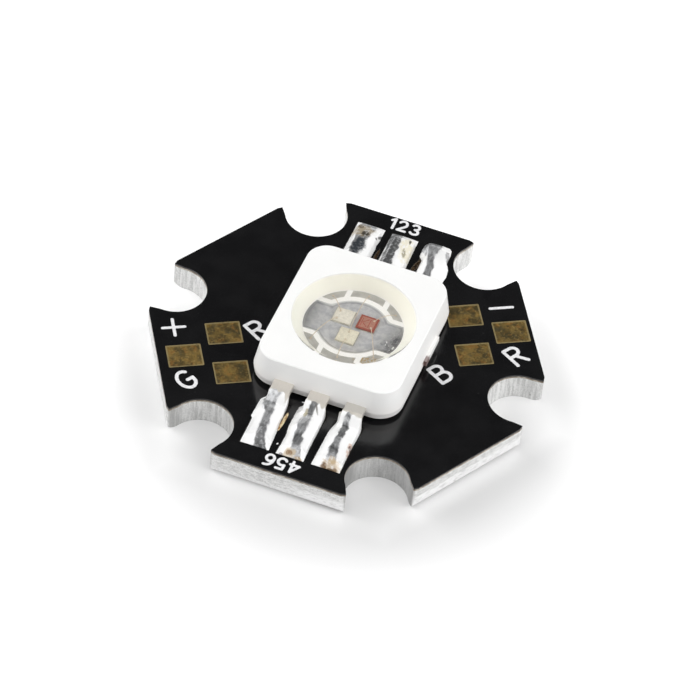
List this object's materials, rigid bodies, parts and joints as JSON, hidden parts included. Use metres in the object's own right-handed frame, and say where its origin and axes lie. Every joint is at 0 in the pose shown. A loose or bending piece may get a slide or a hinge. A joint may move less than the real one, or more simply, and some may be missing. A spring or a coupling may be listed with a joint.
{
  "type": "high power led",
  "caption": "Surface-mount power LED with a round reflector cup and separate colour chips, soldered on a black star-shaped aluminium board with screw notches and wire pads.",
  "frame": {"origin": "centre of the board's underside", "axes": "+Z out of the board towards the light, +Y along the two rows of leads, +X across them through two screw notches"},
  "size_m": [0.0208, 0.02, 0.0036],
  "materials": {
    "aluminium_core": "milled edge",
    "resin": "cut edge",
    "copper": "dull bronze-gold plating",
    "mask": "satin gloss",
    "solder": "bright, slightly uneven",
    "slug": "satin plating",
    "housing": "smooth moulded",
    "lead": "bright tin plating",
    "die_pale": "smooth",
    "die_red": "smooth",
    "adhesive": "cured paste",
    "bond_wire": "drawn wire",
    "encapsulant": "clear"
  },
  "bodies": {
    "root": {"base_plate": "aluminium_core", "dielectric_layer": "resin", "copper_net_1": "copper", "copper_net_2": "copper", "copper_net_3": "copper", "copper_net_4": "copper", "copper_net_5": "copper", "copper_net_6": "copper", "thermal_pad": "copper", "solder_mask": "mask", "slug_solder": "solder", "heat_slug": "slug", "housing": "housing", "lead_1": "lead", "lead_2": "lead", "lead_3": "lead", "lead_4": "lead", "lead_5": "lead", "lead_6": "lead", "solder_joint_1": "solder", "solder_joint_2": "solder", "solder_joint_3": "solder", "solder_joint_4": "solder", "solder_joint_5": "solder", "solder_joint_6": "solder", "die_a": "die_pale", "die_red": "die_red", "die_b": "die_pale", "die_attach_a": "adhesive", "die_attach_red": "adhesive", "die_attach_b": "adhesive", "bond_wire_1": "bond_wire", "bond_wire_2": "bond_wire", "bond_wire_3": "bond_wire", "bond_wire_4": "bond_wire", "bond_wire_5": "bond_wire", "bond_wire_6": "bond_wire", "encapsulant": "encapsulant"}
  },
  "joints": []
}
